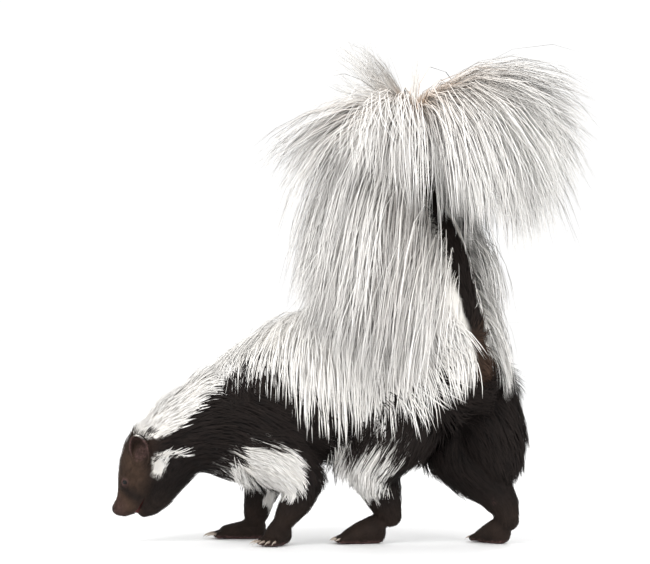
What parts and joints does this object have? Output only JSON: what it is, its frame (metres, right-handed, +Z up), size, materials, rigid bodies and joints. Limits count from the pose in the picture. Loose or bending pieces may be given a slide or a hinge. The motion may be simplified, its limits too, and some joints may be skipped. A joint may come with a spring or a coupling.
{
  "type": "striped skunk",
  "caption": "Life-size still model of a striped skunk: head low, back arched, rump turned, and long white tail plume raised and spilling over.",
  "frame": {"origin": "middle of the model's box in plan, on the floor under its feet", "axes": "+X towards the tail, -X towards the nose, -Y towards the left flank, +Z up"},
  "size_m": [0.4592, 0.3494, 0.4871],
  "materials": {
    "coat_black": "short black-brown fur with a soft sheen",
    "coat_white": "long warm white fur",
    "skin": "bare dark pinkish-brown skin, finely wrinkled",
    "eye": "wet black"
  },
  "bodies": {
    "root": {"nose": "skin", "head": "coat_black", "ear_left": "skin", "ear_right": "skin", "eye_left": "eye", "eye_right": "eye", "neck": "coat_white", "torso": "coat_white", "tail": "coat_white", "upperarm_left": "coat_black", "upperarm_right": "coat_black", "forearm_left": "coat_black", "forearm_right": "coat_black", "forepaw_left": "skin", "forepaw_right": "skin", "thigh_left": "coat_black", "thigh_right": "coat_black", "shank_left": "coat_black", "shank_right": "coat_black", "hindpaw_left": "skin", "hindpaw_right": "skin"}
  },
  "joints": []
}
